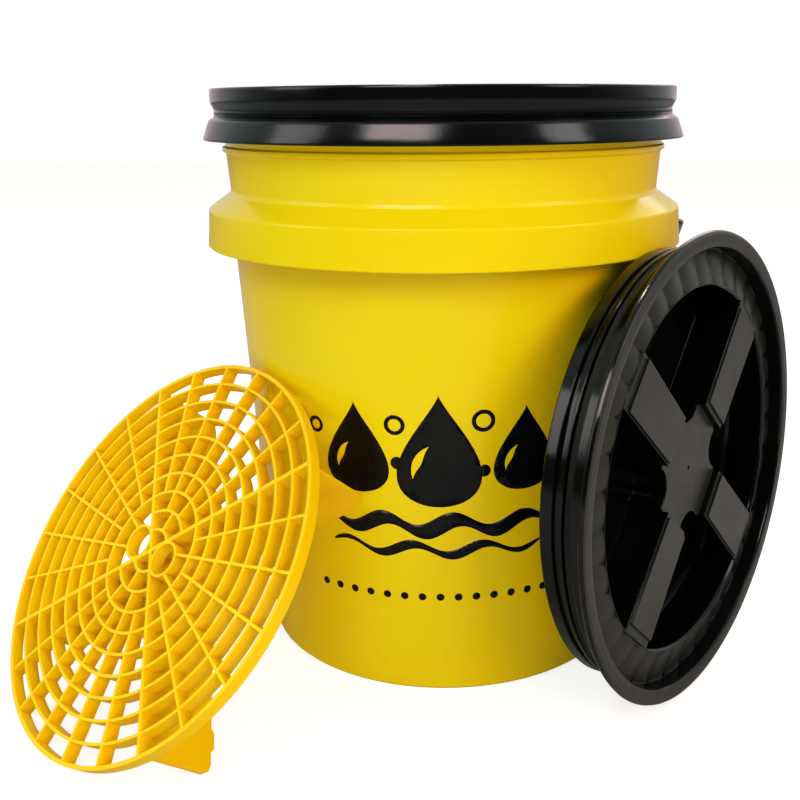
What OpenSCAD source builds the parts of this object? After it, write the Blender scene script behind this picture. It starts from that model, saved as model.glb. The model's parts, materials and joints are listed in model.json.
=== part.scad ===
// Wash bucket kit: pail with its bail and screw ring, a spin-in lid and a grit guard.
// Everything stands on the floor plane, with the pail's axis on the origin.

/* [Pail] */
// Outside radius of the body at the floor
base_r = 131.9; // [120:0.1:140]
// Outside radius of the body just under the collar
body_r = 146.4; // [142:0.1:150]
// Outside radius of the neck above the collar
neck_r = 146.8; // [146:0.1:148]
// Height of the rim
rim_z = 371.6; // [366:0.1:376]
// Wall thickness
wall = 2.3; // [1.8:0.1:2.8]
// Height of the foot ring under the floor
foot_h = 6.5; // [3:0.1:10]
// Width of the foot ring
foot_w = 5.4; // [4:0.1:9]
// Height of the bead under the screw ring
bead_z = 348; // [346:0.1:349]
// How far the bead stands out of the neck
bead_out = 4.0; // [3:0.1:5]
// How far the rolled lip stands out of the neck
lip_out = 5.2; // [3:0.1:5.5]
// Height of the rolled lip
lip_h = 5.6; // [4:0.1:7]

/* [Collar] */
// Outside radius of the collar at its lower edge
collar_r = 164.1; // [160:0.1:166]
// Height of the collar's lower edge
collar_z = 284.8; // [280:0.1:290]
// Height of the band before the shoulder starts
collar_band = 25; // [20:0.1:28]
// How far the band leans in over its height
collar_lean = 2.0; // [0.5:0.1:3]
// Height of the shoulder that runs up to the neck
shoulder_h = 9.4; // [7:0.1:12]
// Number of ribs inside the collar
rib_count = 16; // [8:4:24]
// Thickness of a rib
rib_t = 2.0; // [1.5:0.1:3]

/* [Bail] */
// Wire radius
wire_r = 2.0; // [1.8:0.1:2.2]
// Distance of each arm from the pail's axis
bail_x = 166.2; // [166:0.1:169]
// Height of the pivots
pivot_z = 296; // [293:0.1:298]
// Turn of the pivot line about the pail
ear_turn = -5; // [-8:0.5:8]
// Distance from the pivots to the middle of the grip
bail_drop = 195; // [193:1:204]
// Radius of the two corners of the wire
bail_corner = 110; // [90:1:115]
// Radius of the bend beside each pivot
bail_bend = 2.4; // [2.2:0.1:2.6]
// Angle from straight down to where the wire rests at the back
bail_rest = 60; // [54:0.1:66]
// Clearance of the wire in the collar and in the grip
run_gap = 0.06; // [0.02:0.01:0.1]
// Grip radius
grip_r = 11; // [9:0.5:13]
// Grip length
grip_len = 104; // [80:1:110]

/* [Screw ring] */
// Height of the ring's top
ring_top = 386.4; // [384:0.1:390]
// Radius of the upper band
ring_r = 156.9; // [155:0.1:159]
// Radius of the waist under the band
waist_r = 154.7; // [154.4:0.1:156]
// Radius of the skirt at its lower edge
skirt_r = 163; // [160:0.1:164.5]
// Height of the skirt's lower edge
skirt_z = 353.9; // [352:0.1:358]
// Inside radius of the threaded sleeve
sleeve_r = 143.1; // [142.8:0.1:143.4]
// Depth of the seat for the lid's flange
seat_h = 5; // [4:0.1:6]

/* [Lid] */
// Flange radius
lid_r = 151; // [148:0.1:152]
// Depth of the lid from the flange face to the back
lid_h = 35.4; // [30:0.1:38]
// Radius of the back band
lid_wall_r = 139.4; // [137:0.1:141]
// Radius of the crest round the dish
crest_r = 116.4; // [112:0.1:120]
// How far the crest lies below the flange face
crest_in = 5.6; // [3:0.1:8]
// How far the foot of the finger flutes lies below the flange face
flute_in = 11; // [8:0.1:12]
// Number of finger flutes
flute_count = 36; // [24:4:48]
// Radius of the rounded face of one flute
flute_r = 38; // [30:1:60]
// Width of an arm
arm_w = 33; // [24:0.5:40]
// How far the arm tops lie below the flange face
arm_in = 4; // [3:0.1:6]
// How far the hub lies below the flange face
hub_in = 10.4; // [6:0.1:14]
// Radius of the hub
hub_r = 41; // [34:0.5:46]
// Turn of the four arms about the lid's axis
arm_turn = 48; // [0:1:89]
// Centre of the flange face
lid_at = [164.2, -122.1, 151.1];
// Direction the flange face looks, round the pail
lid_az = -37.7; // [-60:0.1:-20]
// How far the lid leans back
lid_lean = 1.9; // [0:0.1:4]

/* [Grit guard] */
// Radius of the rim
guard_r = 133; // [125:0.5:135]
// Depth of the rim
grid_h = 7.6; // [5:0.1:9]
// Depth of the bars inside the rim
bar_h = 9; // [7.6:0.1:10]
// Width of a grid bar
bar_w = 1.9; // [1.4:0.1:2.6]
// Radius of the innermost full ring
ring_first = 40.2; // [36:0.1:44]
// Distance from one ring to the next
ring_step = 13.05; // [11:0.05:14]
// Number of full rings inside the rim
ring_count = 7; // [4:1:7]
// Number of spokes
spoke_count = 24; // [24:12:24]
// Depth of the four vanes from the grid's face
vane_h = 54; // [40:0.5:75]
// Thickness of a vane
vane_t = 2.4; // [2:0.1:3.2]
// Radius of each finger hole
finger_r = 10; // [8:0.1:10.5]
// Turn of the vanes about the guard's axis
vane_turn = 43.3; // [0:0.1:89]
// Centre of the grid's face
guard_at = [-186.4, -141.7, 107.6];
// Direction the grid faces, round the pail
guard_az = -137.3; // [-160:0.1:-110]
// How far the guard leans back
guard_lean = 39.6; // [30:0.1:50]

/* [Hidden] */
$fn = 120;
eps = 0.01;
quarter = 90;
half_turn = 180;
full_turn = 360;

// pail
corner = 1.5;
floor_z = foot_h + wall;
band_top_r = collar_r - collar_lean;
band_top_z = collar_z + collar_band;
neck_z = band_top_z + shoulder_h;
slot_top_z = neck_z - 2 * wall;
neck_flare = 1.7;
bead_h = 3.4;
upper_out = 2;
lip_z = rim_z - lip_h;
inner_top_r = neck_r - wall + 0.6;
boss_r = 6;
boss_in = 3.2;
pin_in = 156;
head_r = 3.2;
head_t = 1.5;

// screw ring
sleeve_out = inner_top_r - 0.3;
sleeve_z = rim_z - 21;
web_z = rim_z + 3;
seat_r = lid_r + 1.4;
band_h = 9.4;
waist_h = 4;
skirt_t = 2.5;
thread_in = 1.9;
thread_h = 2.2;
seal_in = neck_r - 1;
seal_out = neck_r + lip_out - 0.6;

// lid
flange_t = 5;
flange_w = 8;
trough_r = lid_r - 11;
upper_r = lid_r - 8.4;
upper_h = 13.6;
core_r = lid_wall_r - 2.4;
lower_z = lid_h - 9;
thread_out = 2.3;
thread_a = 20.2;
flute_sink = 0.2;
lid_floor = 2.4;
skin = 2.3;
arm_top = 1.6;
notch_r = 15;
notch_at = hub_r + 5.5;
gasket_r = lid_wall_r + 2.2;
gasket_h = 4;

// guard
rim_w = 2.6;
main_w = 2.8;
cross_w = 2.2;
inner_ring = ring_first - ring_step;
hub_ring = inner_ring - ring_step;
tube_at = inner_ring - finger_r - bar_w / 2 - 0.9;
vane_r = guard_r - 2.2;
vane_corner = 6;
foot_from = 22;
foot_len = 12;
foot_out = 2.4;

yellow = [0.90, 0.78, 0.06];
black = [0.05, 0.05, 0.055];
grey = [0.09, 0.09, 0.10];
steel = [0.55, 0.56, 0.58];

// ---------------------------------------------------------------- pail

module bucket_section() {
    polygon([
        [0, foot_h],
        [base_r - foot_w - 1, foot_h],
        [base_r - foot_w, 0],
        [base_r - corner, 0],
        [base_r, corner],
        [body_r, collar_z],
        [body_r + 0.5, slot_top_z],
        [band_top_r - wall, band_top_z - wall / 2],
        [collar_r - wall, collar_z],
        [collar_r - 0.4, collar_z],
        [collar_r, collar_z + 0.5],
        [band_top_r, band_top_z - corner],
        [band_top_r - 0.4, band_top_z - 0.4],
        [band_top_r - corner, band_top_z + 0.3],
        [neck_r + 4, neck_z - 2.2],
        [neck_r + 1.2, neck_z - 0.4],
        [neck_r, neck_z + 2.2],
        [neck_r + neck_flare, bead_z - bead_h / 2 - 0.8],
        [neck_r + bead_out - 0.6, bead_z - bead_h / 2],
        [neck_r + bead_out, bead_z - bead_h / 2 + 0.8],
        [neck_r + bead_out, bead_z + bead_h / 2 - 0.8],
        [neck_r + bead_out - 0.6, bead_z + bead_h / 2],
        [neck_r + upper_out, bead_z + bead_h / 2 + 0.2],
        [neck_r + upper_out, lip_z - 1.5],
        [neck_r + lip_out - 0.8, lip_z],
        [neck_r + lip_out, lip_z + 1],
        [neck_r + lip_out, rim_z - 1],
        [neck_r + lip_out - 1, rim_z],
        [inner_top_r + 0.8, rim_z],
        [inner_top_r, rim_z - 0.8],
        [inner_top_r, neck_z],
        [body_r - wall, collar_z],
        [base_r - wall + 0.3, floor_z + 4],
        [base_r - wall - 1, floor_z + 1.2],
        [base_r - wall - 4, floor_z],
        [0, floor_z]
    ]);
}

module collar_rib() {
    rotate([quarter, 0, 0])
        translate([0, 0, -rib_t / 2])
            linear_extrude(rib_t)
                polygon([
                    [body_r - 1, slot_top_z + 1],
                    [body_r - 1, collar_z + 3],
                    [collar_r - wall + 0.8, collar_z + 3],
                    [band_top_r - wall + 0.8, band_top_z - 1]
                ]);
}

module ear_pair() {
    rotate([0, 0, ear_turn])
        for (side = [0, half_turn])
            rotate([0, 0, side])
                translate([0, 0, pivot_z])
                    rotate([0, quarter, 0])
                        children();
}

module bucket_shell() {
    color(yellow)
    difference() {
        union() {
            rotate_extrude() bucket_section();
            for (i = [0 : rib_count - 1])
                rotate([0, 0, ear_turn + (i + 0.5) * full_turn / rib_count]) collar_rib();
            ear_pair()
                translate([0, 0, collar_r - wall - boss_in])
                    cylinder(h = boss_in + 1, r = boss_r);
        }
        ear_pair()
            translate([0, 0, collar_r - wall - boss_in - 1])
                cylinder(h = boss_in + wall + 6, r = wire_r + run_gap);
    }
}

// ---------------------------------------------------------------- screw ring

module ring_section() {
    polygon([
        [sleeve_out, sleeve_z],
        [sleeve_r, sleeve_z],
        [sleeve_r, sleeve_z + 4],
        [sleeve_r - thread_in, sleeve_z + 4 + thread_h / 3],
        [sleeve_r - thread_in, sleeve_z + 4 + thread_h],
        [sleeve_r, sleeve_z + 4 + thread_h * 4 / 3],
        [sleeve_r, ring_top - seat_h],
        [seat_r, ring_top - seat_h],
        [seat_r, ring_top - 0.6],
        [seat_r + 0.6, ring_top],
        [ring_r - 1.6, ring_top],
        [ring_r - 0.5, ring_top - 0.5],
        [ring_r, ring_top - 1.6],
        [ring_r, ring_top - band_h],
        [ring_r - 1.4, ring_top - band_h - 2],
        [waist_r, ring_top - band_h - 4.5],
        [waist_r, ring_top - band_h - 4.5 - waist_h],
        [waist_r + 0.8, ring_top - band_h - 5.4 - waist_h],
        [waist_r + 3.2, ring_top - band_h - 6 - waist_h],
        [waist_r + 3.9, ring_top - band_h - 7.2 - waist_h],
        [skirt_r - 1, skirt_z + 4],
        [skirt_r, skirt_z + 1.2],
        [skirt_r - 0.5, skirt_z],
        [skirt_r - skirt_t + 0.4, skirt_z],
        [skirt_r - skirt_t - 1.2, skirt_z + 3],
        [waist_r + 1.2, ring_top - band_h - 11],
        [neck_r + lip_out + 0.6, lip_z + 1],
        [neck_r + lip_out + 0.6, web_z],
        [sleeve_out, web_z]
    ]);
}

module adapter_ring() {
    color(black)
        rotate_extrude() ring_section();
}

module ring_gasket() {
    color(grey)
    difference() {
        translate([0, 0, rim_z]) cylinder(h = web_z - rim_z, r = seal_out);
        translate([0, 0, rim_z - 1]) cylinder(h = web_z - rim_z + 2, r = seal_in);
    }
}

// ---------------------------------------------------------------- bail

module bail_frame() {
    translate([0, 0, pivot_z])
        rotate([0, 0, ear_turn])
            rotate([bail_rest, 0, 0])
                children();
}

module wire_bend(r) {
    rotate([quarter, 0, 0])
        rotate_extrude(angle = quarter)
            translate([r, 0]) circle(r = wire_r);
}

module bail_side() {
    arm = bail_drop - bail_corner;
    translate([pin_in, 0, 0])
        rotate([0, quarter, 0]) cylinder(h = bail_x - bail_bend - pin_in, r = wire_r);
    translate([pin_in - head_t, 0, 0])
        rotate([0, quarter, 0]) cylinder(h = head_t, r = head_r);
    translate([bail_x - bail_bend, 0, -bail_bend]) wire_bend(bail_bend);
    translate([bail_x, 0, -arm]) cylinder(h = arm - bail_bend, r = wire_r);
    translate([bail_x - bail_corner, 0, -arm])
        rotate([0, quarter, 0]) wire_bend(bail_corner);
    translate([0, 0, -bail_drop])
        rotate([0, quarter, 0]) cylinder(h = bail_x - bail_corner, r = wire_r);
}

module bail_wire() {
    color(steel)
    bail_frame() {
        bail_side();
        mirror([1, 0, 0]) bail_side();
    }
}

module bail_grip() {
    lip = 4;
    color(black)
    bail_frame()
        translate([0, 0, -bail_drop])
            rotate([0, quarter, 0])
                difference() {
                    union() {
                        translate([0, 0, -grip_len / 2]) cylinder(h = grip_len, r = grip_r - 1);
                        for (side = [0, half_turn])
                            rotate([side, 0, 0])
                                translate([0, 0, grip_len / 2 - lip]) cylinder(h = lip, r = grip_r);
                    }
                    translate([0, 0, -grip_len / 2 - 1])
                        cylinder(h = grip_len + 2, r = wire_r + run_gap);
                }
}

// ---------------------------------------------------------------- lid

module lid_frame() {
    translate(lid_at)
        rotate([0, quarter - lid_lean, lid_az])
            children();
}

module lid_section() {
    polygon([
        [0, -lid_h],
        [lid_wall_r - 1, -lid_h],
        [lid_wall_r, -lid_h + 1],
        [lid_wall_r, -lower_z - 1],
        [core_r, -lower_z],
        [core_r, -thread_a - thread_h - 0.7],
        [core_r + thread_out + 1, -thread_a - thread_h],
        [core_r + thread_out + 1, -thread_a],
        [core_r, -thread_a + 0.7],
        [core_r, -upper_h],
        [upper_r, -upper_h],
        [upper_r, -flange_t],
        [lid_r - 2, -flange_t],
        [lid_r - 0.6, -flange_t + 0.8],
        [lid_r, -flange_t + 2],
        [lid_r, -2.2],
        [lid_r - 0.6, -0.7],
        [lid_r - 2, 0],
        [lid_r - flange_w + 1.4, 0],
        [trough_r + 1.2, -0.6],
        [trough_r + 0.5, -1.8],
        [trough_r, -flute_in],
        [crest_r + 3, -crest_in + 0.1],
        [crest_r + 1.4, -crest_in - 0.2],
        [crest_r, -crest_in - 1.6],
        [crest_r - 2.6, -lid_h + lid_floor + 3.4],
        [crest_r - 3.6, -lid_h + lid_floor + 1],
        [crest_r - 6, -lid_h + lid_floor],
        [0, -lid_h + lid_floor]
    ]);
}

// room left open behind the flutes
module lid_hollow() {
    polygon([
        [crest_r - 0.4, -lid_h - 1],
        [core_r - skin, -lid_h - 1],
        [core_r - skin, -flute_in - 6],
        [core_r - skin - 3, -flute_in - 4.2],
        [crest_r + 4.5, -crest_in - skin - 1.8],
        [crest_r + 2, -crest_in - skin - 3.8]
    ]);
}

module arm_plan(w, from, to) {
    polygon([[from, -w / 2], [to, -w / 2 - 1.5], [to, w / 2 + 1.5], [from, w / 2]]);
}

module four_arms() {
    for (i = [0 : 3])
        rotate([0, 0, arm_turn + quarter * i]) children();
}

module lid_cross() {
    reach = crest_r - 3;
    arm_end = crest_r - 5.4;
    // arm tops
    translate([0, 0, -lid_h + eps])
        linear_extrude(lid_h - arm_in - arm_top)
            four_arms() arm_plan(arm_w, hub_r - 3, reach + 3);
    translate([0, 0, -arm_in - arm_top - eps])
        linear_extrude(arm_top)
            four_arms() arm_plan(arm_w - 1.6, hub_r, arm_end);
    // hub
    translate([0, 0, -lid_h + eps])
        linear_extrude(lid_h - hub_in)
            difference() {
                circle(r = hub_r);
                for (i = [0 : 3])
                    rotate([0, 0, arm_turn + quarter * (i + 0.5)])
                        translate([notch_at, 0]) circle(r = notch_r);
            }
}

// room left open behind the arms and the hub
module cross_hollow() {
    translate([0, 0, -lid_h - 1]) {
        linear_extrude(lid_h + 1 - hub_in - skin)
            difference() {
                circle(r = hub_r - skin);
                for (i = [0 : 3])
                    rotate([0, 0, arm_turn + quarter * (i + 0.5)])
                        translate([notch_at, 0]) circle(r = notch_r + skin);
            }
        linear_extrude(lid_h + 1 - arm_in - arm_top - skin)
            four_arms() arm_plan(arm_w - 2 * skin, hub_r + 1, crest_r - 6);
    }
}

// what is taken away above the rounded face of one flute
module flute_cutter() {
    from = crest_r + 2;
    to = trough_r - 0.2;
    slope = atan((flute_in - crest_in) / (trough_r - from));
    turn = full_turn / flute_count + 0.04;
    difference() {
        rotate([0, 0, -turn / 2])
            rotate_extrude(angle = turn)
                polygon([
                    [from, -crest_in - 4],
                    [to, -flute_in - 5],
                    [to, -crest_in + 1],
                    [from, -crest_in + 1]
                ]);
        translate([from, 0, -crest_in - flute_sink])
            rotate([0, quarter + slope, 0])
                translate([flute_r, 0, -4]) cylinder(h = trough_r - from + 8, r = flute_r);
    }
}

module spin_lid() {
    color(black)
    lid_frame()
    difference() {
        union() {
            rotate_extrude() lid_section();
            lid_cross();
        }
        rotate_extrude() lid_hollow();
        cross_hollow();
        for (i = [0 : flute_count - 1])
            rotate([0, 0, (i + 0.5) * full_turn / flute_count]) flute_cutter();
        // mark left by the moulding gate
        translate([0, 0, -hub_in - 0.8]) cylinder(h = 2, r = 1.4);
    }
}

module lid_gasket() {
    color(grey)
    lid_frame()
        translate([0, 0, -upper_h - gasket_h])
            difference() {
                cylinder(h = gasket_h, r = gasket_r);
                translate([0, 0, -1]) cylinder(h = gasket_h + 2, r = core_r);
            }
}

// ---------------------------------------------------------------- grit guard

module guard_frame() {
    translate(guard_at)
        rotate([0, quarter - guard_lean, guard_az])
            children();
}

module hoop(r, w) {
    difference() {
        circle(r = r + w / 2);
        circle(r = r - w / 2);
    }
}

module spoke(from, to, w) {
    translate([from, -w / 2]) square([to - from, w]);
}

module quadrant_pair(r) {
    // the two quadrants between the vanes that hold no finger hole
    for (side = [0, half_turn])
        rotate([0, 0, side]) polygon([[0, 0], [r, 0], [r, r], [0, r]]);
}

module grate_plan() {
    mid = guard_r - rim_w / 2;
    pitch = full_turn / spoke_count;
    per = spoke_count / 4;
    for (i = [0 : ring_count - 1])
        hoop(ring_first + ring_step * i, bar_w);
    intersection() {
        union() {
            hoop(inner_ring, bar_w);
            hoop(hub_ring, bar_w);
        }
        rotate([0, 0, quarter]) quadrant_pair(ring_first);
    }
    for (i = [0 : spoke_count - 1])
        rotate([0, 0, i * pitch])
            if (i % per == 0)
                spoke(0, mid, (i % (2 * per) == 0) ? cross_w : main_w);
            else
                spoke((i % 2 == 0) ? inner_ring : ring_first, mid, bar_w);
    for (side = [0, half_turn])
        rotate([0, 0, quarter + side + per * pitch / 2])
            spoke(hub_ring, inner_ring, bar_w);
    for (side = [0, half_turn])
        rotate([0, 0, side + per * pitch / 2])
            translate([tube_at + bar_w / 2, 0]) hoop(finger_r + bar_w / 2, bar_w);
}

module guard_grate() {
    color(yellow)
    guard_frame()
        rotate([0, 0, vane_turn]) {
            translate([0, 0, -grid_h])
                linear_extrude(grid_h) hoop(guard_r - rim_w / 2, rim_w);
            translate([0, 0, -bar_h])
                linear_extrude(bar_h)
                    difference() {
                        grate_plan();
                        for (side = [0, half_turn])
                            rotate([0, 0, side + quarter / 2])
                                translate([tube_at + bar_w / 2, 0]) circle(r = finger_r);
                    }
        }
}

module vane_side() {
    polygon([
        [0, -bar_h],
        [vane_r, -bar_h],
        [vane_r, -vane_h + vane_corner],
        [vane_r - vane_corner * 0.3, -vane_h + vane_corner * 0.3],
        [vane_r - vane_corner, -vane_h],
        [vane_r - foot_from + foot_len / 2 + foot_out, -vane_h],
        [vane_r - foot_from + foot_len / 2, -vane_h - foot_out],
        [vane_r - foot_from - foot_len / 2 + foot_out, -vane_h - foot_out],
        [vane_r - foot_from - foot_len / 2, -vane_h],
        [0, -vane_h]
    ]);
}

module guard_vanes() {
    color(yellow)
    guard_frame()
        for (i = [0 : 3])
            rotate([0, 0, vane_turn + quarter * i])
                rotate([quarter, 0, 0])
                    translate([0, 0, -vane_t / 2])
                        linear_extrude(vane_t) vane_side();
}

bucket_shell();
adapter_ring();
ring_gasket();
bail_wire();
bail_grip();
spin_lid();
lid_gasket();
guard_grate();
guard_vanes();
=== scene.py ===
import json
import math

import bmesh
import bpy
from mathutils import Matrix, Vector


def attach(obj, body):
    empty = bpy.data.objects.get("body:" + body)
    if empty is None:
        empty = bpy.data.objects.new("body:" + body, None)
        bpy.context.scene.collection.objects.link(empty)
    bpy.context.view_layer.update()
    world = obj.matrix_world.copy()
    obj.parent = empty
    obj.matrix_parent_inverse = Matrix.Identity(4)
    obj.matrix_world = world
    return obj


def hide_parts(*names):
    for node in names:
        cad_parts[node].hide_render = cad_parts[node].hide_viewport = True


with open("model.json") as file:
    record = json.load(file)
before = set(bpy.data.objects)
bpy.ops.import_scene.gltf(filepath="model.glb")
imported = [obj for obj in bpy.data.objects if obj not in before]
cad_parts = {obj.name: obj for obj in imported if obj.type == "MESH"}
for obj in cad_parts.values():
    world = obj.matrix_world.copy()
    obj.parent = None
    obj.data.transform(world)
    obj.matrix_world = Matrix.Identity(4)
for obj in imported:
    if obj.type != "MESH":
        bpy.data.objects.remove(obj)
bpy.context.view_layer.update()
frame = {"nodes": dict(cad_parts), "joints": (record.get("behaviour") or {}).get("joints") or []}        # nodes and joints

nodes = frame["nodes"]
print("frame loaded:", ", ".join(sorted(nodes)))


# camera, lights and floor

cameraSetup = {
    "place": (0.0, -0.7227, 0.3772),
    "down": 16.52,        # degrees below level
    "roll": -0.4,         # degrees
    "lens": 45.27,
    "sensor": 36.0,
    "shift": -0.0564,
    "nearest": 0.02,
    "farthest": 60,
}

roomSetup = {
    "backdrop": (1.0, 1.0, 1.0),
    "ambient": (1.0, 0.84, 0.62),         # what the surfaces gather
    "mirrored": (0.96, 0.98, 1.0),        # what the gloss picks up
    "nearStrength": 0.13,    # in front of the pail
    "farStrength": 0.75,     # behind and above it
    "riseShare": 0.7,        # how much looking up counts against looking back
    "easeRange": (-0.5, 0.7),    # where the strength starts and ends its change
    "floorColor": (0.40, 0.44, 0.52),
    "floorLift": 0.74,       # keeps the paper near white
    "floorHalf": 6.0,
    "floorRoughness": 0.8,
    "floorSpecular": 0.1,
}

# name: place, width, height, watts, colour, and whether the gloss shows it
lightSetup = {
    "overhead": ((-0.18, 0.39, 2.1), 0.20, 0.30, 10.0, (1.0, 1.0, 1.0), True),
    "frontPanel": ((-0.8, -2.0, 2.2), 1.4, 1.0, 30.0, (1.0, 0.99, 0.97), True),
    "rightFill": ((1.2, -1.9, 1.2), 1.0, 1.0, 32.0, (1.0, 0.62, 0.32), False),
    "lowFill": ((-0.4, -1.8, 0.14), 1.4, 0.24, 9.0, (1.0, 0.92, 0.76), False),
    "rightPanel": ((1.9, -1.1, 1.5), 0.8, 0.9, 8.0, (1.0, 1.0, 1.0), True),
    "leftPanel": ((-2.0, -0.6, 1.2), 0.9, 1.2, 8.0, (1.0, 0.98, 0.95), True),
    "rearPanel": ((0.6, 2.0, 1.6), 1.6, 1.2, 12.0, (1.0, 1.0, 1.0), True),
}
lightAim = (0.0, 0.0, 0.2)

# linear in, linear out: a soft toe keeps the blacks black, and a lift in the red warms shaded yellow
toneCurve = [(0.0, 0.0), (0.02, 0.008), (0.10, 0.082), (0.40, 0.395), (1.0, 1.0)]
redCurve = [(0.0, 0.0), (0.12, 0.12), (0.30, 0.37), (0.50, 0.58), (0.75, 0.78), (1.0, 1.0)]


def addCamera(setup):
    data = bpy.data.cameras.new("camera")
    data.lens = setup["lens"]
    data.sensor_width = setup["sensor"]
    data.shift_x = setup["shift"]
    data.clip_start = setup["nearest"]
    data.clip_end = setup["farthest"]
    camera = bpy.data.objects.new("camera", data)
    bpy.context.scene.collection.objects.link(camera)
    tilt = Matrix.Rotation(math.radians(90 - setup["down"]), 4, "X")
    roll = Matrix.Rotation(math.radians(setup["roll"]), 4, "Z")
    camera.matrix_world = Matrix.Translation(setup["place"]) @ tilt @ roll
    bpy.context.scene.camera = camera


def addLights(setup):
    for name, (place, width, height, watts, color, glossy) in setup.items():
        data = bpy.data.lights.new(name, "AREA")
        data.shape = "RECTANGLE"
        data.size = width
        data.size_y = height
        data.energy = watts
        data.color = color
        lamp = bpy.data.objects.new(name, data)
        bpy.context.scene.collection.objects.link(lamp)
        lamp.location = place
        lamp.rotation_euler = (Vector(lightAim) - Vector(place)).to_track_quat("-Z", "Y").to_euler()
        lamp.visible_glossy = glossy


def addRoom(setup):
    world = bpy.data.worlds.new("room")
    bpy.context.scene.world = world
    world.use_nodes = True
    tree = world.node_tree
    tree.nodes.clear()
    out = tree.nodes.new("ShaderNodeOutputWorld")
    mix = tree.nodes.new("ShaderNodeMixShader")
    path = tree.nodes.new("ShaderNodeLightPath")
    soft = tree.nodes.new("ShaderNodeBackground")
    tint = tree.nodes.new("ShaderNodeMix")
    tint.data_type = "RGBA"
    tint.inputs[6].default_value = (*setup["ambient"], 1)
    tint.inputs[7].default_value = (*setup["mirrored"], 1)
    tree.links.new(path.outputs["Is Glossy Ray"], tint.inputs[0])
    tree.links.new(tint.outputs[2], soft.inputs["Color"])
    way = tree.nodes.new("ShaderNodeSeparateXYZ")
    tree.links.new(tree.nodes.new("ShaderNodeTexCoord").outputs["Generated"], way.inputs[0])
    rise = tree.nodes.new("ShaderNodeMath")
    rise.operation = "MULTIPLY_ADD"
    rise.inputs[1].default_value = setup["riseShare"]
    tree.links.new(way.outputs["Z"], rise.inputs[0])
    tree.links.new(way.outputs["Y"], rise.inputs[2])
    ease = tree.nodes.new("ShaderNodeMapRange")
    ease.interpolation_type = "SMOOTHSTEP"
    ease.inputs["From Min"].default_value, ease.inputs["From Max"].default_value = setup["easeRange"]
    ease.inputs["To Min"].default_value = setup["nearStrength"]
    ease.inputs["To Max"].default_value = setup["farStrength"]
    tree.links.new(rise.outputs[0], ease.inputs["Value"])
    tree.links.new(ease.outputs["Result"], soft.inputs["Strength"])
    white = tree.nodes.new("ShaderNodeBackground")
    white.inputs["Color"].default_value = (*setup["backdrop"], 1)
    tree.links.new(path.outputs["Is Camera Ray"], mix.inputs[0])
    tree.links.new(soft.outputs[0], mix.inputs[1])
    tree.links.new(white.outputs[0], mix.inputs[2])
    tree.links.new(mix.outputs[0], out.inputs["Surface"])

    half = setup["floorHalf"]
    mesh = bpy.data.meshes.new("floor")
    mesh.from_pydata([(-half, -half, 0), (half, -half, 0), (half, half, 0), (-half, half, 0)],
                     [], [(0, 1, 2, 3)])
    floor = bpy.data.objects.new("floor", mesh)
    bpy.context.scene.collection.objects.link(floor)
    paper = bpy.data.materials.new("floorPaper")
    paper.use_nodes = True
    shader = paper.node_tree.nodes["Principled BSDF"]
    shader.inputs["Base Color"].default_value = (*setup["floorColor"], 1)
    shader.inputs["Roughness"].default_value = setup["floorRoughness"]
    shader.inputs["Specular IOR Level"].default_value = setup["floorSpecular"]
    shader.inputs["Emission Color"].default_value = (1, 1, 1, 1)
    seen = paper.node_tree.nodes.new("ShaderNodeLightPath")
    lift = paper.node_tree.nodes.new("ShaderNodeMath")
    lift.operation = "MULTIPLY"
    lift.inputs[1].default_value = setup["floorLift"]
    paper.node_tree.links.new(seen.outputs["Is Camera Ray"], lift.inputs[0])
    paper.node_tree.links.new(lift.outputs[0], shader.inputs["Emission Strength"])
    mesh.materials.append(paper)


def setTone(everyPoint, redPoints):
    view = bpy.context.scene.view_settings
    view.view_transform = "Standard"
    view.use_curve_mapping = True
    red, _, _, every = view.curve_mapping.curves
    for curve, points in ((every, everyPoint), (red, redPoints)):
        while len(curve.points) < len(points):
            curve.points.new(0.5, 0.5)
        for point, place in zip(curve.points, points):
            point.location = place
    view.curve_mapping.update()


addCamera(cameraSetup)
addLights(lightSetup)
addRoom(roomSetup)
setTone(toneCurve, redCurve)
print("camera, lights and floor placed")


# finishes

plasticIor = 1.5
edgeSamples = 6


def startFinish(name, setup):
    mat = bpy.data.materials.new(name)
    mat.use_nodes = True
    tree = mat.node_tree
    shader = tree.nodes["Principled BSDF"]
    shader.inputs["IOR"].default_value = plasticIor
    shader.inputs["Specular IOR Level"].default_value = setup.get("specular", 0.5)
    shader.inputs["Metallic"].default_value = setup.get("metallic", 0.0)
    return mat, tree, shader


def addNode(tree, kind, inputs=None, **settings):
    made = tree.nodes.new(kind)
    for key, value in settings.items():
        setattr(made, key, value)
    for key, value in (inputs or {}).items():
        if isinstance(value, bpy.types.NodeSocket):
            tree.links.new(value, made.inputs[key])
        else:
            made.inputs[key].default_value = value
    return made


def noise(tree, place, scale, detail, rough=0.5):
    made = addNode(tree, "ShaderNodeTexNoise", {"Vector": place, "Scale": scale, "Detail": detail,
                                                 "Roughness": rough})
    return made.outputs["Fac"]


def spread(tree, value, low, high, fromLow=0.0, fromHigh=1.0):
    made = addNode(tree, "ShaderNodeMapRange", {"Value": value, "From Min": fromLow,
                                                 "From Max": fromHigh, "To Min": low, "To Max": high})
    return made.outputs["Result"]


def blendColors(tree, factor, first, second):
    made = addNode(tree, "ShaderNodeMix", data_type="RGBA")
    tree.links.new(factor, made.inputs[0])
    for slot, color in ((6, first), (7, second)):
        if isinstance(color, bpy.types.NodeSocket):
            tree.links.new(color, made.inputs[slot])
        else:
            made.inputs[slot].default_value = (*color, 1)
    return made.outputs[2]


def timesValue(tree, first, second):
    made = addNode(tree, "ShaderNodeMath", {0: first, 1: second}, operation="MULTIPLY")
    return made.outputs[0]


def objectPlace(tree):
    return addNode(tree, "ShaderNodeTexCoord").outputs["Object"]


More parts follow.
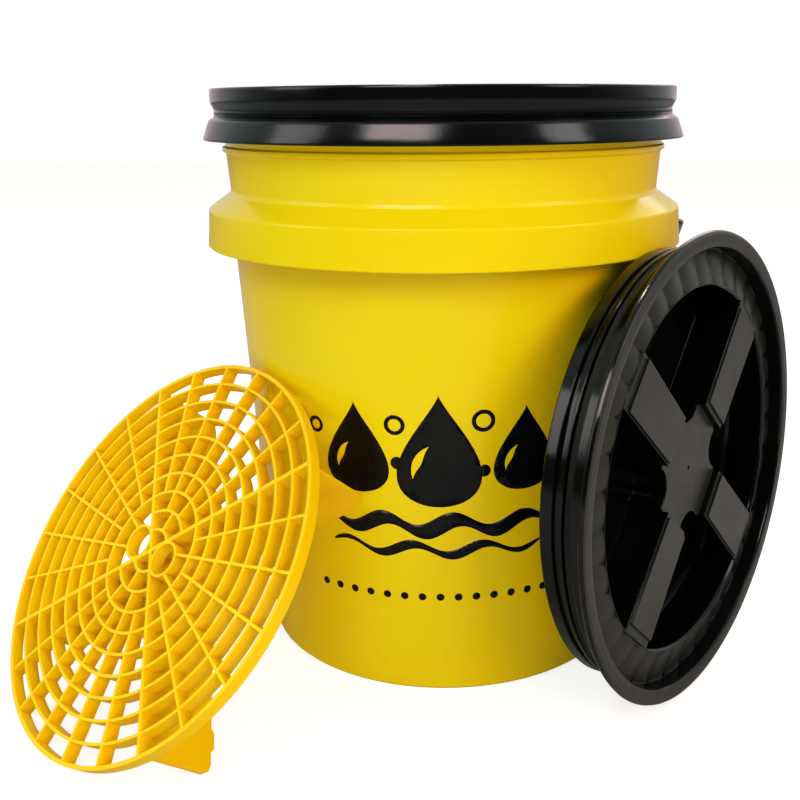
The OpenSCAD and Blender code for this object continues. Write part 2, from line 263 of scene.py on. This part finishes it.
def bumps(tree, shader, layers, edge=0.0):
    # layers: height socket, depth in metres; edge softens sharp corners
    last = None
    if edge:
        soft = addNode(tree, "ShaderNodeBevel", samples=edgeSamples)
        soft.inputs["Radius"].default_value = edge
        last = soft.outputs["Normal"]
    for height, depth in layers:
        inputs = {"Height": height, "Distance": depth, "Strength": 1.0}
        if last is not None:
            inputs["Normal"] = last
        last = addNode(tree, "ShaderNodeBump", inputs).outputs["Normal"]
    tree.links.new(last, shader.inputs["Normal"])


def mixValues(tree, factor, first, second):
    made = addNode(tree, "ShaderNodeMix", data_type="FLOAT")
    for slot, value in enumerate((factor, first, second)):
        tree.links.new(value, made.inputs[(0, 2, 3)[slot]])
    return made.outputs[0]


def topFaces(tree, depth):
    # 1 on the lid's faces that look out of the lid and lie near its top, 0 on its walls; these faces
    # get the satin roughness and a painted sheen
    coords = addNode(tree, "ShaderNodeTexCoord")
    along = addNode(tree, "ShaderNodeVectorMath", operation="DOT_PRODUCT")
    facing = addNode(tree, "ShaderNodeVectorMath", operation="DOT_PRODUCT")
    for made, source in ((along, "Object"), (facing, "Normal")):
        tree.links.new(coords.outputs[source], made.inputs[0])
        made.inputs[1].default_value = lidAxis
    near = spread(tree, along.outputs["Value"], 0, 1, lidTop - depth, lidTop - depth + satinFade)
    looks = spread(tree, facing.outputs["Value"], 0, 1, *satinFacing)
    return timesValue(tree, near, looks)


# what every moulded skin shares: detail of each noise, and the part of it that counts
skin = {
    "driftDetail": 2.0,
    "driftRange": (0.35, 0.65),
    "rubDetail": 6.0,
    "rubRough": 0.65,
    "rubRange": (0.56, 0.74),
    "glossRange": (0.3, 0.7),
    "peelDetail": 2.0,
    "grainDetail": 1.0,
}


def mouldedPlastic(name, setup):
    # colour drifts slowly over the moulding, the skin has a fine orange peel and rubbed patches
    mat, tree, shader = startFinish(name, setup)
    place = objectPlace(tree)
    drift = noise(tree, place, setup["driftScale"], skin["driftDetail"])
    drifted = spread(tree, drift, 0, 1, *skin["driftRange"])
    color = blendColors(tree, drifted, setup["color"], setup["driftColor"])
    rub = noise(tree, place, setup["rubScale"], skin["rubDetail"], skin["rubRough"])
    rubbed = spread(tree, rub, 0, 1, *skin["rubRange"])
    color = blendColors(tree, timesValue(tree, rubbed, setup["rubAmount"]), color, setup["rubColor"])
    rough = spread(tree, rub, *setup["roughness"], *skin["glossRange"])
    if "satin" in setup:
        top = topFaces(tree, setup["satinDepth"])
        satin = spread(tree, rub, *setup["satin"], *skin["glossRange"])
        rough = mixValues(tree, top, rough, satin)
        # painted sheen: the lid's outward-facing top faces are given a lighter grey colour
        color = blendColors(tree, top, color, setup["satinPaintedSheen"])
    tree.links.new(color, shader.inputs["Base Color"])
    tree.links.new(rough, shader.inputs["Roughness"])
    peel = noise(tree, place, setup["peelScale"], skin["peelDetail"])
    grain = noise(tree, place, setup["grainScale"], skin["grainDetail"])
    bumps(tree, shader, [(peel, setup["peelDepth"]), (grain, setup["grainDepth"])],
          setup.get("edge", 0.0))
    return mat


# the lid's own axis, where its top lies along it, and how sharply the satin ends
lidAxis = Vector(next(joint["axis"] for joint in frame["joints"] if joint["name"] == "lid_lift"))
lidTop = max(corner.co.dot(lidAxis) for corner in nodes["spin_lid"].data.vertices)
satinFade = 0.0004
satinFacing = (0.72, 0.86)

pailPlastic = {
    "color": (0.67, 0.60, 0.012),
    "driftColor": (0.65, 0.565, 0.009),
    "driftScale": 7.0,
    "rubColor": (0.84, 0.66, 0.03),
    "rubScale": 30.0,
    "rubAmount": 0.10,
    "roughness": (0.16, 0.26),
    "specular": 0.3,
    "edge": 0.0015,
    "peelScale": 90.0,
    "peelDepth": 0.00006,
    "grainScale": 900.0,
    "grainDepth": 0.000004,
}

guardPlastic = {
    "color": (0.84, 0.60, 0.009),
    "driftColor": (0.80, 0.55, 0.006),
    "driftScale": 14.0,
    "rubColor": (0.88, 0.70, 0.05),
    "rubScale": 60.0,
    "rubAmount": 0.2,
    "roughness": (0.26, 0.38),
    "specular": 0.3,
    "edge": 0.0006,
    "peelScale": 220.0,
    "peelDepth": 0.00005,
    "grainScale": 1400.0,
    "grainDepth": 0.000006,
}

ringPlastic = {
    "color": (0.003, 0.0033, 0.0036),
    "driftColor": (0.005, 0.005, 0.0056),
    "driftScale": 12.0,
    "rubColor": (0.03, 0.03, 0.032),
    "rubScale": 45.0,
    "rubAmount": 0.08,
    "roughness": (0.15, 0.23),
    "specular": 0.5,
    "edge": 0.002,
    "peelScale": 160.0,
    "peelDepth": 0.00005,
    "grainScale": 1500.0,
    "grainDepth": 0.000008,
}

# the lid's top faces are satin, and its walls keep the mould's polish; the satin faces also get a
# lighter grey colour, which is a painted sheen
lidPlastic = {
    **ringPlastic,
    "roughness": (0.10, 0.15),
    "satin": (0.32, 0.42),
    # painted sheen: the lighter grey given to the satin faces
    "satinPaintedSheen": (0.030, 0.031, 0.032),
    "satinDepth": 0.014,     # how far below the flange face the satin reaches
    "edge": 0.0016,
}

gripPlastic = {
    "color": (0.010, 0.010, 0.011),
    "driftColor": (0.014, 0.014, 0.015),
    "driftScale": 20.0,
    "rubColor": (0.06, 0.06, 0.06),
    "rubScale": 90.0,
    "rubAmount": 0.4,
    "roughness": (0.38, 0.55),
    "specular": 0.4,
    "peelScale": 300.0,
    "peelDepth": 0.00006,
    "grainScale": 1800.0,
    "grainDepth": 0.00002,
}

sealRubber = {
    "color": (0.012, 0.012, 0.012),
    "driftColor": (0.018, 0.018, 0.018),
    "driftScale": 25.0,
    "rubColor": (0.06, 0.06, 0.055),
    "rubScale": 80.0,
    "rubAmount": 0.5,
    "roughness": (0.60, 0.80),
    "specular": 0.3,
    "peelScale": 350.0,
    "peelDepth": 0.00005,
    "grainScale": 2200.0,
    "grainDepth": 0.00002,
}

printInk = {
    "color": (0.006, 0.006, 0.007),
    "driftColor": (0.010, 0.010, 0.010),
    "driftScale": 30.0,
    "rubColor": (0.05, 0.045, 0.02),
    "rubScale": 140.0,
    "rubAmount": 0.05,
    "roughness": (0.24, 0.36),
    "specular": 0.4,
    "peelScale": 400.0,
    "peelDepth": 0.00001,
    "grainScale": 2500.0,
    "grainDepth": 0.000005,
}

drawnWire = {
    "color": (0.30, 0.30, 0.31),
    "streakColor": (0.16, 0.155, 0.15),
    "roughness": (0.26, 0.42),
    "metallic": 1.0,
    "streakScale": 160.0,
    "streakDetail": 5.0,
    "streakRough": 0.7,
    "streakRange": (0.4, 0.7),
    "drawDepth": 0.00001,
}


def wireFinish(name, setup):
    mat, tree, shader = startFinish(name, setup)
    place = objectPlace(tree)
    streaks = noise(tree, place, setup["streakScale"], setup["streakDetail"], setup["streakRough"])
    streaked = spread(tree, streaks, 0, 1, *setup["streakRange"])
    tree.links.new(blendColors(tree, streaked, setup["color"], setup["streakColor"]),
                   shader.inputs["Base Color"])
    low, high = setup["roughness"]
    tree.links.new(spread(tree, streaks, low, high), shader.inputs["Roughness"])
    bumps(tree, shader, [(streaks, setup["drawDepth"])])
    return mat


finishes = {
    "pailYellow": mouldedPlastic("pailYellow", pailPlastic),
    "guardYellow": mouldedPlastic("guardYellow", guardPlastic),
    "ringBlack": mouldedPlastic("ringBlack", ringPlastic),
    "lidBlack": mouldedPlastic("lidBlack", lidPlastic),
    "gripBlack": mouldedPlastic("gripBlack", gripPlastic),
    "sealBlack": mouldedPlastic("sealBlack", sealRubber),
    "bailSteel": wireFinish("bailSteel", drawnWire),
    "printBlack": mouldedPlastic("printBlack", printInk),
}

nodeFinish = {
    "bucket_shell": "pailYellow",
    "adapter_ring": "ringBlack",
    "ring_gasket": "sealBlack",
    "bail_wire": "bailSteel",
    "bail_grip": "gripBlack",
    "spin_lid": "lidBlack",
    "lid_gasket": "sealBlack",
    "guard_grate": "guardYellow",
    "guard_vanes": "guardYellow",
}

for nodeName, finish in nodeFinish.items():
    slots = nodes[nodeName].data.materials
    for index in range(len(slots)):
        slots[index] = finishes[finish]
print("finishes given to the packed nodes")


# turned pieces

nearlyStraight = 0.02    # radians short of straight at which a corner needs no fillet
fillShare = 0.49         # share of a side that a fillet may take


def roundedProfile(points, stepsEach=6):
    # points: radius, height, fillet in mm; gives the closed outline in metres
    outline = []
    count = len(points)
    for index, (r, z, fillet) in enumerate(points):
        here = Vector((r, z))
        back = Vector(points[index - 1][:2]) - here
        ahead = Vector(points[(index + 1) % count][:2]) - here
        angle = back.angle(ahead)
        if fillet <= 0 or angle > math.pi - nearlyStraight:
            outline.append(here)
            continue
        reach = fillet / math.tan(angle / 2)
        reach = min(reach, fillShare * back.length, fillShare * ahead.length)
        radius = reach * math.tan(angle / 2)
        start = here + back.normalized() * reach
        end = here + ahead.normalized() * reach
        middle = here + (back.normalized() + ahead.normalized()).normalized() * (
            radius / math.sin(angle / 2))
        first = start - middle
        turn = first.angle_signed(end - middle)
        for step in range(stepsEach + 1):
            spin = -turn * step / stepsEach
            outline.append(middle + Vector((first.x * math.cos(spin) - first.y * math.sin(spin),
                                            first.x * math.sin(spin) + first.y * math.cos(spin))))
    return [(p.x / 1000, p.y / 1000) for p in outline]


def turned(name, outline, around):
    # a closed outline carried round the Z axis
    verts, faces = [], []
    count = len(outline)
    for k in range(around):
        c, s = math.cos(2 * math.pi * k / around), math.sin(2 * math.pi * k / around)
        verts += [(r * c, r * s, z) for r, z in outline]
    for k in range(around):
        a, b = k * count, (k + 1) % around * count
        faces += [(a + i, b + i, b + (i + 1) % count, a + (i + 1) % count) for i in range(count)]
    return newPiece(name, verts, faces)


def newPiece(name, verts, faces):
    mesh = bpy.data.meshes.new(name)
    mesh.from_pydata(verts, [], faces)
    work = bmesh.new()
    work.from_mesh(mesh)
    bmesh.ops.recalc_face_normals(work, faces=work.faces)
    work.to_mesh(mesh)
    work.free()
    piece = bpy.data.objects.new(name, mesh)
    bpy.context.scene.collection.objects.link(piece)
    return piece


def finishPiece(piece, finish, body, creaseDegrees=None):
    piece.data.materials.append(finishes[finish])
    for face in piece.data.polygons:
        face.use_smooth = True
    if creaseDegrees:
        piece.data.set_sharp_from_angle(angle=math.radians(creaseDegrees))
    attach(piece, body)


screwRing = {
    "around": 256,
    "creaseDegrees": 50,
    # radius, height, fillet in mm, from the threaded sleeve round by the top to the skirt
    "outline": [
        (144.8, 350.6, 0.5), (144.8, 374.6, 0.2), (152.6, 374.6, 0.4), (152.6, 367.0, 0.4),
        (155.0, 374.0, 2.0), (154.6, 366.0, 3.0), (159.2, 358.0, 3.0), (160.7, 353.9, 0.5),
        (163.0, 353.9, 0.9), (161.6, 358.2, 6.0), (158.6, 366.4, 3.4), (154.9, 368.4, 2.6),
        (154.7, 373.2, 4.0), (156.9, 377.6, 3.0), (156.9, 386.4, 1.6), (152.4, 386.4, 0.7),
        (152.4, 381.4, 0.5), (143.1, 381.4, 0.6), (143.1, 357.53, 0.3), (141.2, 356.8, 0.5),
        (141.2, 355.33, 0.5), (143.1, 354.6, 0.3), (143.1, 350.6, 0.5),
    ],
}

ring = turned("screwRing", roundedProfile(screwRing["outline"]), screwRing["around"])
finishPiece(ring, "ringBlack", "pail", screwRing["creaseDegrees"])
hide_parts("adapter_ring")
print("screw ring turned")


# the printed mark on the front of the pail

printedMark = {
    "wrapRadius": 0.139,     # radius that flat widths are wrapped round
    "stand": 0.00010,        # how far the ink stands off the wall
    "thick": 0.00014,
    "stripe": 0.003,         # widest flat step round the pail
    # centre, foot and height of each drop, mm
    "drops": [(-57, 141, 60), (-4, 134, 74), (50, 143, 56)],
    # centre across, height, outer and inner radius of each bubble, mm
    "bubbles": [(-31, 188, 6.5, 4.0), (-30, 163, 4.2, 0), (24, 158, 4.0, 0), (23, 191, 7.2, 4.6),
                (76, 186, 4.6, 0), (-86, 182, 5.4, 3.2)],
    # left end, right end, height, rise, pitch, thickness, mm
    "waves": [(-96, 84, 121, 4.2, 46, 10.0), (-78, 64, 104, 3.6, 46, 6.0)],
    "dots": (-88, 78, 70, 12, 2.6),          # left, right, height, pitch and radius, mm
    "creaseDegrees": 40,
}

# shares of a drop's height, and angles in degrees
dropShape = {
    "width": 0.52,
    "point": 1.6,            # higher draws the tip out longer
    "glintFrom": 110,
    "glintSweep": 90,
    "glintRadius": 0.235,
    "glintSwell": 0.075,
    "glintUp": 0.33,
}

pailWall = {"lowRadius": 0.1319, "highRadius": 0.1464, "lowZ": 0.0015, "highZ": 0.2848}


def dropOutline(across, foot, height, count=72):
    points = []
    for k in range(count):
        t = 2 * math.pi * k / count
        wide = dropShape["width"] * height * math.sin(t) * math.sin(t / 2) ** dropShape["point"]
        points.append((across + wide, foot + height * (0.5 + 0.5 * math.cos(t))))
    return points


def crescentOutline(across, foot, height, count=24):
    # the glint left open inside a drop
    outer, inner = [], []
    big = dropShape["glintRadius"] * height
    middle = foot + dropShape["glintUp"] * height
    for k in range(count + 1):
        t = math.radians(dropShape["glintFrom"] + dropShape["glintSweep"] * k / count)
        small = big - dropShape["glintSwell"] * math.sin(math.pi * k / count) * height
        outer.append((across + big * math.cos(t), middle + big * math.sin(t)))
        inner.append((across + small * math.cos(t), middle + small * math.sin(t)))
    return outer + inner[::-1][1:-1]


def circleOutline(across, up, radius, count=40):
    return [(across + radius * math.cos(2 * math.pi * k / count),
             up + radius * math.sin(2 * math.pi * k / count)) for k in range(count)]


def waveOutline(left, right, up, rise, pitch, thick, count=120):
    top, low = [], []
    for k in range(count + 1):
        x = left + (right - left) * k / count
        taper = math.sin(math.pi * k / count) ** 0.45
        swing = rise * math.sin(2 * math.pi * (x - left) / pitch)
        swell = 0.5 * thick * taper * (1 + 0.35 * math.cos(2 * math.pi * (x - left) / pitch))
        top.append((x, up + swing + swell))
        low.append((x, up + swing - swell))
    return top + low[::-1][1:-1]


def markOutlines(mark):
    shapes = []
    for across, foot, height in mark["drops"]:
        shapes.append([dropOutline(across, foot, height), crescentOutline(across, foot, height)])
    for across, up, outer, inner in mark["bubbles"]:
        shapes.append([circleOutline(across, up, outer)] +
                      ([circleOutline(across, up, inner)] if inner else []))
    for wave in mark["waves"]:
        shapes.append([waveOutline(*wave)])
    left, right, up, pitch, radius = mark["dots"]
    for k in range(int((right - left) / pitch) + 1):
        shapes.append([circleOutline(left + pitch * k, up, radius, 20)])
    return shapes


def addMark(mark, wall):
    work = bmesh.new()
    for shape in markOutlines(mark):
        edges = []
        for outline in shape:
            ring = [work.verts.new((x / 1000, 0, z / 1000)) for x, z in outline]
            edges += [work.edges.new((ring[k - 1], ring[k])) for k in range(len(ring))]
        bmesh.ops.triangle_fill(work, use_beauty=True, use_dissolve=False, edges=edges)
    reach = max(abs(v.co.x) for v in work.verts)
    cut = -math.floor(reach / mark["stripe"]) * mark["stripe"]
    while cut < reach:
        bmesh.ops.bisect_plane(work, geom=work.verts[:] + work.edges[:] + work.faces[:],
                               plane_co=(cut, 0, 0), plane_no=(1, 0, 0), dist=1e-7)
        cut += mark["stripe"]
    slope = (wall["highRadius"] - wall["lowRadius"]) / (wall["highZ"] - wall["lowZ"])
    for v in work.verts:
        turn = v.co.x / mark["wrapRadius"]
        r = wall["lowRadius"] + slope * (v.co.z - wall["lowZ"]) + mark["stand"]
        v.co = (r * math.sin(turn), -r * math.cos(turn), v.co.z)
    for face in work.faces:
        face.normal_update()
        if face.normal.dot(face.calc_center_median() * Vector((1, 1, 0))) < 0:
            face.normal_flip()
    mesh = bpy.data.meshes.new("printedMark")
    work.to_mesh(mesh)
    work.free()
    piece = bpy.data.objects.new("printedMark", mesh)
    bpy.context.scene.collection.objects.link(piece)
    skin = piece.modifiers.new("skin", "SOLIDIFY")
    skin.thickness = mark["thick"]
    skin.offset = -1
    finishPiece(piece, "printBlack", "pail", mark["creaseDegrees"])


addMark(printedMark, pailWall)
print("mark printed")
